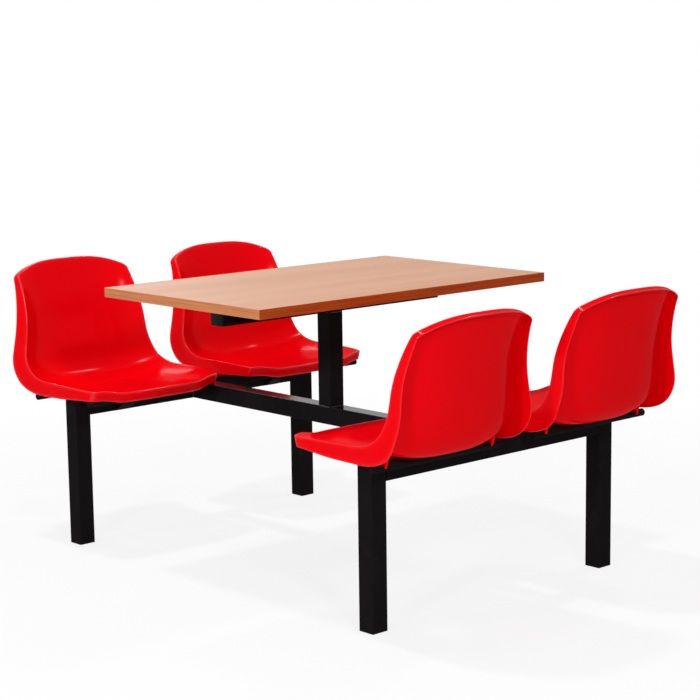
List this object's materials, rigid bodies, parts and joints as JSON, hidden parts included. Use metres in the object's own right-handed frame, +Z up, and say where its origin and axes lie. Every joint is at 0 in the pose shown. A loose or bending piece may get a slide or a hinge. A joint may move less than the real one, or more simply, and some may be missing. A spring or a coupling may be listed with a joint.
{
  "type": "canteen table with fixed seats",
  "caption": "Free-standing canteen table: a beech-effect laminate top on a welded square-tube steel frame that also carries glossy moulded bucket seats on both long sides.",
  "frame": {"origin": "on the floor at the middle of the table, where the feet stand", "axes": "X along the table top, Y across it from one row of seats to the other, Z up"},
  "size_m": [1.035, 1.7304, 0.7932],
  "materials": {
    "seat_plastic": "glossy injection-moulded red polypropylene",
    "frame_paint": "semi-gloss black powder coat on steel tube",
    "weld_metal": "weld beads under the same black powder coat",
    "top_laminate": "satin beech-effect laminate with fine grain along the table",
    "edge_band": "smooth beech-coloured edge band",
    "chipboard": "raw particle board, hidden under laminate and edge bands",
    "balancing_laminate": "plain matt backing laminate",
    "black_plastic": "moulded black plastic inserts and caps",
    "zinc_screws": "zinc-plated screws"
  },
  "bodies": {
    "root": {"bearer_front": "frame_paint", "bearer_middle": "frame_paint", "bearer_rear": "frame_paint", "board_balancing_laminate": "balancing_laminate", "board_core": "chipboard", "board_screws": "zinc_screws", "board_top_laminate": "top_laminate", "edge_band_long_left": "edge_band", "edge_band_long_right": "edge_band", "edge_band_short_front": "edge_band", "edge_band_short_rear": "edge_band", "foot_left_front": "black_plastic", "foot_left_rear": "black_plastic", "foot_right_front": "black_plastic", "foot_right_rear": "black_plastic", "leg_left_front": "frame_paint", "leg_left_rear": "frame_paint", "leg_right_front": "frame_paint", "leg_right_rear": "frame_paint", "leg_top_caps": "black_plastic", "post": "frame_paint", "rail_cap_front": "black_plastic", "rail_cap_rear": "black_plastic", "seat_beam_left": "frame_paint", "seat_beam_right": "frame_paint", "seat_left_front_arm": "frame_paint", "seat_left_front_front_rod": "frame_paint", "seat_left_front_rear_rod": "frame_paint", "seat_left_front_shell": "seat_plastic", "seat_left_front_stay": "frame_paint", "seat_left_rear_arm": "frame_paint", "seat_left_rear_front_rod": "frame_paint", "seat_left_rear_rear_rod": "frame_paint", "seat_left_rear_shell": "seat_plastic", "seat_left_rear_stay": "frame_paint", "seat_right_front_arm": "frame_paint", "seat_right_front_front_rod": "frame_paint", "seat_right_front_rear_rod": "frame_paint", "seat_right_front_shell": "seat_plastic", "seat_right_front_stay": "frame_paint", "seat_right_rear_arm": "frame_paint", "seat_right_rear_front_rod": "frame_paint", "seat_right_rear_rear_rod": "frame_paint", "seat_right_rear_shell": "seat_plastic", "seat_right_rear_stay": "frame_paint", "spine": "frame_paint", "table_rail": "frame_paint", "weld_beads": "weld_metal"}
  },
  "joints": []
}
